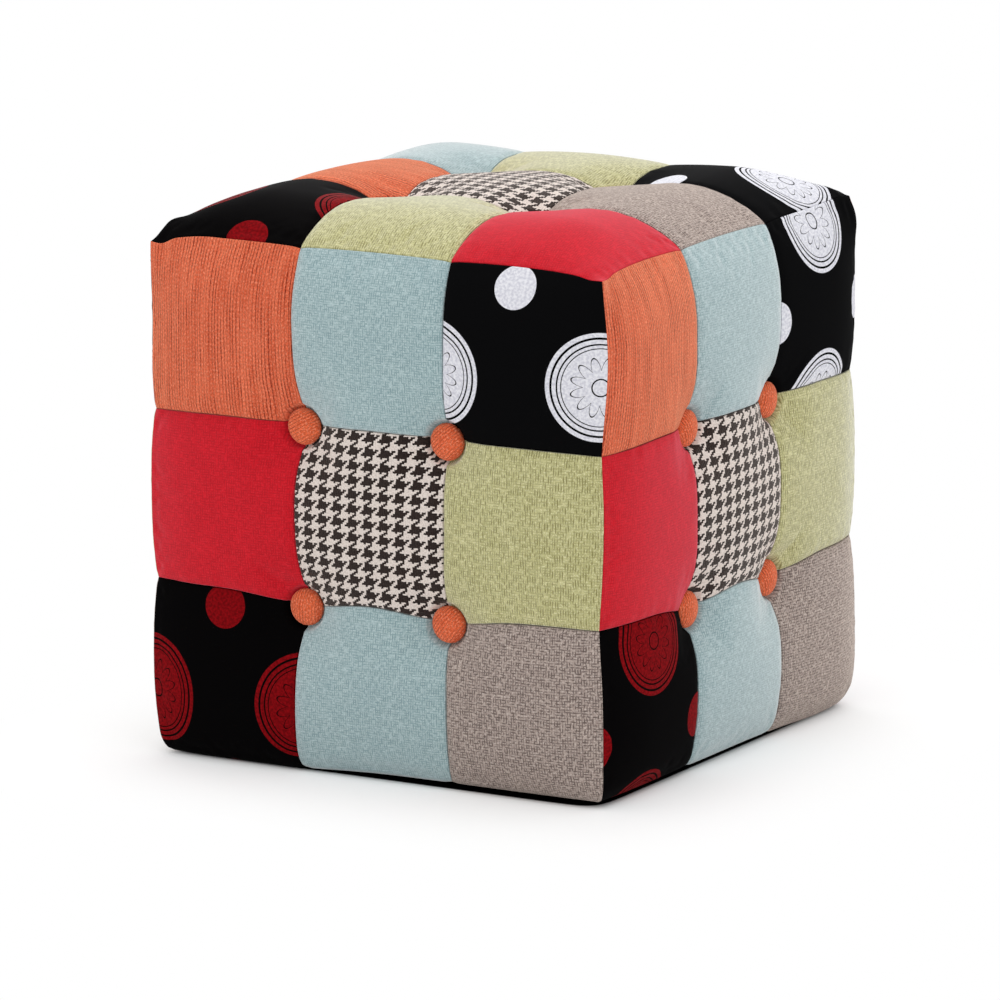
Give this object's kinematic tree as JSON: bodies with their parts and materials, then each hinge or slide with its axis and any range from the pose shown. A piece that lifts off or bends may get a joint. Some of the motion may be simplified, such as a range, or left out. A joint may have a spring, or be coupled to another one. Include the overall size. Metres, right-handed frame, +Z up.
{
  "type": "tuffet",
  "caption": "Cube tuffet with a tufted patchwork cover over foam and a boarded softwood frame, covered buttons tied through every face, and a dust cover with glides beneath.",
  "frame": {"origin": "on the floor, under the middle of the tuffet", "axes": "+Z up, -Y the front face, +X the right face"},
  "size_m": [0.3516, 0.3516, 0.3612],
  "materials": {
    "patchwork": "matt woven patches over wadding",
    "orange_cord": "matt ribbed weave",
    "red_velvet": "matt short pile",
    "blue_boucle": "matt looped weave",
    "olive_chenille": "matt chenille weave",
    "taupe_melange": "matt flecked weave",
    "houndstooth": "matt woven check in cream and dark brown",
    "black_silver_print": "satin cloth with a pale printed disc pattern",
    "black_red_print": "satin cloth with a dark red printed disc pattern",
    "button_cloth": "matt ribbed weave over a domed cap",
    "foam": "open-cell foam",
    "board": "raw fibreboard",
    "softwood": "planed softwood",
    "dust_cloth": "matt nonwoven",
    "staple_steel": "bright wire",
    "glide_plastic": "moulded"
  },
  "bodies": {
    "root": {"front_cover": "patchwork", "right_cover": "patchwork", "back_cover": "patchwork", "left_cover": "patchwork", "top_cover": "patchwork", "front_foam": "foam", "right_foam": "foam", "back_foam": "foam", "left_foam": "foam", "seat_foam": "foam", "front_board": "board", "right_board": "board", "back_board": "board", "left_board": "board", "top_board": "board", "front_rail": "softwood", "right_rail": "softwood", "back_rail": "softwood", "left_rail": "softwood", "post_front_left": "softwood", "post_front_right": "softwood", "post_back_right": "softwood", "post_back_left": "softwood", "glide_front_left": "glide_plastic", "glide_front_right": "glide_plastic", "glide_back_right": "glide_plastic", "glide_back_left": "glide_plastic", "dust_cover": "dust_cloth", "front_button_lower_left": "button_cloth", "front_button_lower_right": "button_cloth", "front_button_upper_left": "button_cloth", "front_button_upper_right": "button_cloth", "right_button_lower_left": "button_cloth", "right_button_lower_right": "button_cloth", "right_button_upper_left": "button_cloth", "right_button_upper_right": "button_cloth", "back_button_lower_left": "button_cloth", "back_button_lower_right": "button_cloth", "back_button_upper_left": "button_cloth", "back_button_upper_right": "button_cloth", "left_button_lower_left": "button_cloth", "left_button_lower_right": "button_cloth", "left_button_upper_left": "button_cloth", "left_button_upper_right": "button_cloth", "top_button_front_left": "button_cloth", "top_button_front_right": "button_cloth", "top_button_back_left": "button_cloth", "top_button_back_right": "button_cloth"}
  },
  "joints": []
}
